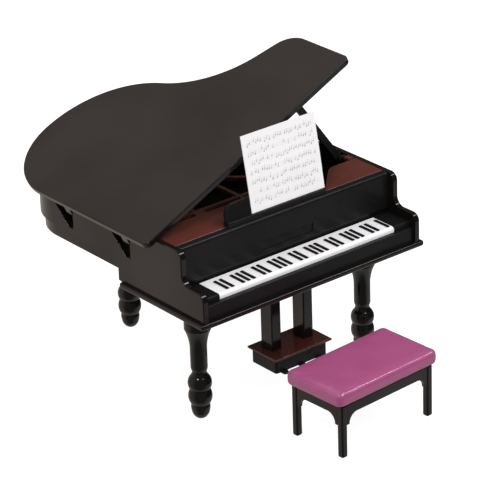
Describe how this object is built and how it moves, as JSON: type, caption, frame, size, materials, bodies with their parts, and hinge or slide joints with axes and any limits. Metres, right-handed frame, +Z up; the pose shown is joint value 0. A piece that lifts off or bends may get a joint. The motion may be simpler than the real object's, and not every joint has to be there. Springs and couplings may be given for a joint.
{
  "type": "miniature grand piano",
  "caption": "Dolls house grand piano with propped hinged lid, open harp frame, turned legs, pedal lyre, music desk with sheet, and a cushioned bench.",
  "frame": {"origin": "bottom centre of the whole set's box, on the floor under it", "axes": "+X to the player's right, +Y from the keys to the tail, +Z up"},
  "size_m": [0.1246, 0.1782, 0.1341],
  "materials": {
    "black_gloss": "polished warm black",
    "harp_brown": "semi-gloss red-brown",
    "key_white": "gloss white",
    "bright_steel": "plain wire and screw steel",
    "sheet_card": "printed card",
    "pink_satin": "pink satin"
  },
  "bodies": {
    "piano": {"case_body": "black_gloss", "key_bed": "black_gloss", "key_frame": "black_gloss", "bottom_pan": "black_gloss", "soundboard": "harp_brown", "case_screws": "bright_steel", "harp_plate": "harp_brown", "fallboard": "black_gloss", "key_slip": "black_gloss", "key_block_left": "black_gloss", "key_block_right": "black_gloss", "keyboard_block": "key_white", "black_keys": "black_gloss", "hinge_pins": "bright_steel", "prop_bracket": "black_gloss", "prop_pin": "bright_steel", "desk_ledge": "black_gloss", "desk_panel": "black_gloss", "leg_front_left": "black_gloss", "leg_front_right": "black_gloss", "leg_rear": "black_gloss", "lyre_post_left": "black_gloss", "lyre_post_right": "black_gloss", "pedal_plate": "harp_brown", "pedal_box": "black_gloss", "pedal_left": "black_gloss", "pedal_middle": "black_gloss", "pedal_right": "black_gloss"},
    "lid_group": {"lid": "black_gloss", "hinge_lugs": "black_gloss", "prop_cup": "black_gloss"},
    "prop": {"lid_prop": "black_gloss"},
    "sheet": {"music_sheet": "sheet_card"},
    "bench": {"bench_legs": "black_gloss", "bench_rails": "black_gloss", "bench_board": "black_gloss", "bench_cushion": "pink_satin"}
  },
  "joints": [
    {"name": "lid_hinge", "type": "hinge", "parent": "piano", "child": "lid_group", "pos_m": [-0.05401, 0.02456, 0.0748], "axis": [0, -1, 0], "range_deg": [-25.2, 0]},
    {"name": "prop_pivot", "type": "hinge", "parent": "piano", "child": "prop", "pos_m": [0.05489, 0.00296, 0.0808], "axis": [0, 1, 0], "range_deg": [-75.6, 0]},
    {"name": "sheet_lift", "type": "slide", "parent": "piano", "child": "sheet", "axis": [0, 0.1736, 0.9848], "range_m": [0, 0.025]},
    {"name": "bench_slide", "type": "slide", "parent": "piano", "child": "bench", "axis": [0, -1, 0], "range_m": [-0.016, 0.04]}
  ],
  "couplings": [
    {"joint": "prop_pivot", "follows": "lid_hinge", "ratio": 3}
  ]
}
